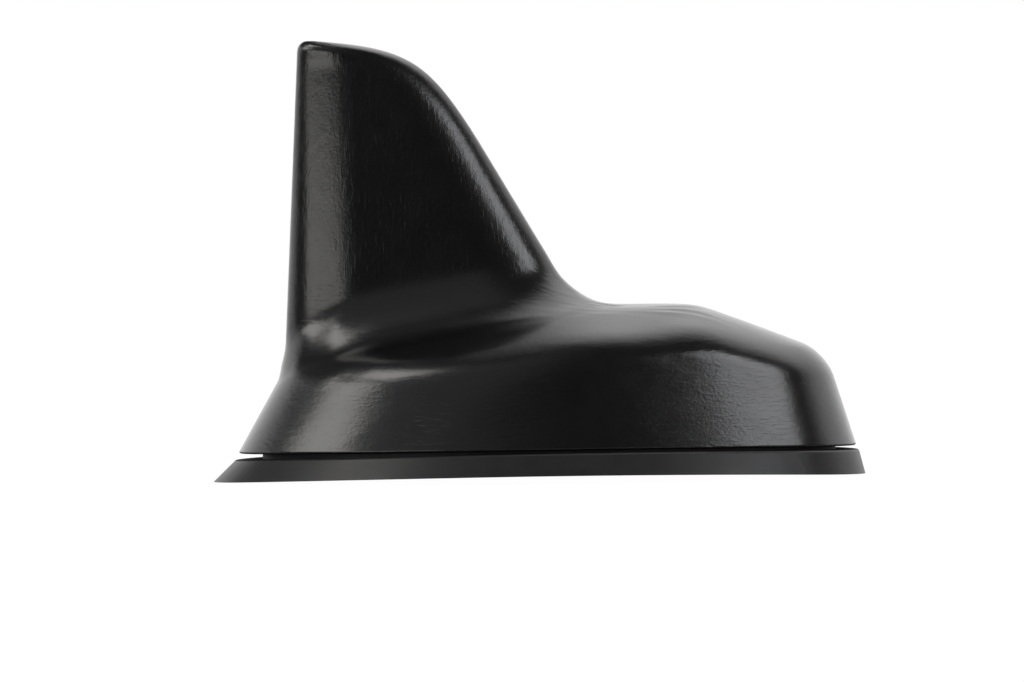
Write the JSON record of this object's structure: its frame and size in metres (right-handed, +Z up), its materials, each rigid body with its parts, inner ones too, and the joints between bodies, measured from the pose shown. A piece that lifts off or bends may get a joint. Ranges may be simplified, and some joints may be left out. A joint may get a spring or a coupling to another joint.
{
  "type": "shark fin aerial",
  "caption": "Car roof aerial: a black moulded fin cover on a flared rubber roof seal, with satellite and phone aerials, their sockets and a threaded roof fixing inside.",
  "frame": {"origin": "middle of the seal's footprint, at the height of the seal's lowest edge on the roof", "axes": "+X to the front of the car, +Y to its left, +Z up"},
  "size_m": [0.1099, 0.0624, 0.0741],
  "materials": {
    "cover_plastic": "fine moulded grain",
    "seal_rubber": "matt",
    "gasket_rubber": "matt",
    "die_casting": "as cast",
    "screw_steel": "zinc plated",
    "board_green": "solder mask",
    "patch_ceramic": "fired ceramic",
    "tape_black": "foam tape",
    "contact_brass": "gilt",
    "screen_tin": "tinned",
    "chip_black": "moulded",
    "filter_grey": "ceramic lid",
    "gnss_blue": "moulded",
    "phone_claret": "moulded",
    "insulator_white": "moulded",
    "holder_grey": "moulded",
    "foam_grey": "open cell foam"
  },
  "bodies": {
    "root": {"fin_cover": "cover_plastic", "roof_seal": "seal_rubber", "base_plate": "die_casting", "cover_gasket": "gasket_rubber", "cover_screws": "screw_steel", "main_board": "board_green", "board_screws": "screw_steel", "patch_tape": "tape_black", "gnss_patch": "patch_ceramic", "patch_pin": "contact_brass", "shield_can": "screen_tin", "amplifier_chip": "chip_black", "filters": "filter_grey", "chip_parts": "chip_black", "gnss_socket": "gnss_blue", "phone_socket": "phone_claret", "socket_shells": "contact_brass", "socket_insulators": "insulator_white", "socket_pins": "contact_brass", "blade_holder": "holder_grey", "radiator_blade": "contact_brass", "fin_foam": "foam_grey"}
  },
  "joints": []
}
